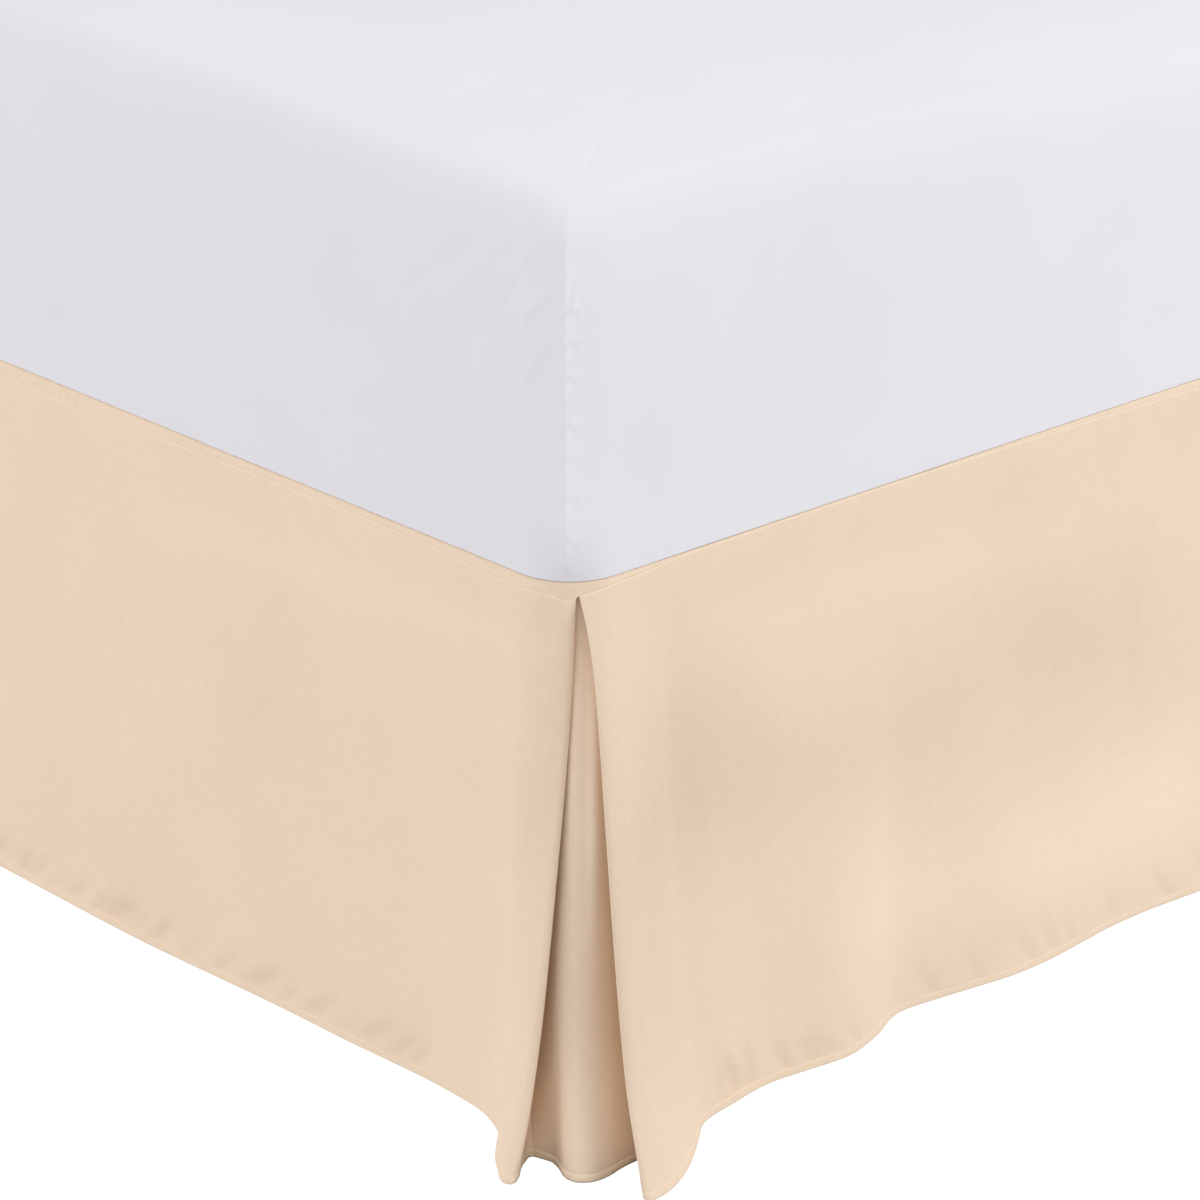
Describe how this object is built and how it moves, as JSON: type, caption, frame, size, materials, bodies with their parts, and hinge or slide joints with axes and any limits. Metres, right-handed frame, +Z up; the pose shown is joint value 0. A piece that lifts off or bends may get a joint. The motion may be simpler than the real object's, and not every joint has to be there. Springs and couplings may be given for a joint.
{
  "type": "tailored bed skirt with inverted corner pleats on a bed with mattress, box spring and steel frame",
  "caption": "Plain beige tailored bed skirt with inverted corner pleats, hanging from between the mattress and box spring of a bed down to the floor.",
  "frame": {"origin": "on the floor under the middle of the whole object's box", "axes": "+Z up, +Y towards the head of the bed, +X to the right of someone who stands at the foot and looks at the head"},
  "size_m": [1.7151, 2.1116, 0.6743],
  "materials": {
    "skirt_cloth": "brushed microfibre cloth, matt",
    "fitted_sheet": "plain white woven fitted sheet, matt",
    "ticking": "woven ticking, matt",
    "frame_steel": "dark brown enamel, satin",
    "glide_plastic": "moulded black plastic"
  },
  "bodies": {
    "root": {"deck": "skirt_cloth", "foot_panel": "skirt_cloth", "side_panel_left": "skirt_cloth", "side_panel_right": "skirt_cloth", "mattress": "fitted_sheet", "box_spring": "ticking", "rail_left": "frame_steel", "rail_right": "frame_steel", "cross_rail_1": "frame_steel", "cross_rail_2": "frame_steel", "cross_rail_3": "frame_steel", "leg_1": "frame_steel", "leg_2": "frame_steel", "leg_3": "frame_steel", "leg_4": "frame_steel", "leg_5": "frame_steel", "leg_6": "frame_steel", "glide_1": "glide_plastic", "glide_2": "glide_plastic", "glide_3": "glide_plastic", "glide_4": "glide_plastic", "glide_5": "glide_plastic", "glide_6": "glide_plastic"}
  },
  "joints": []
}
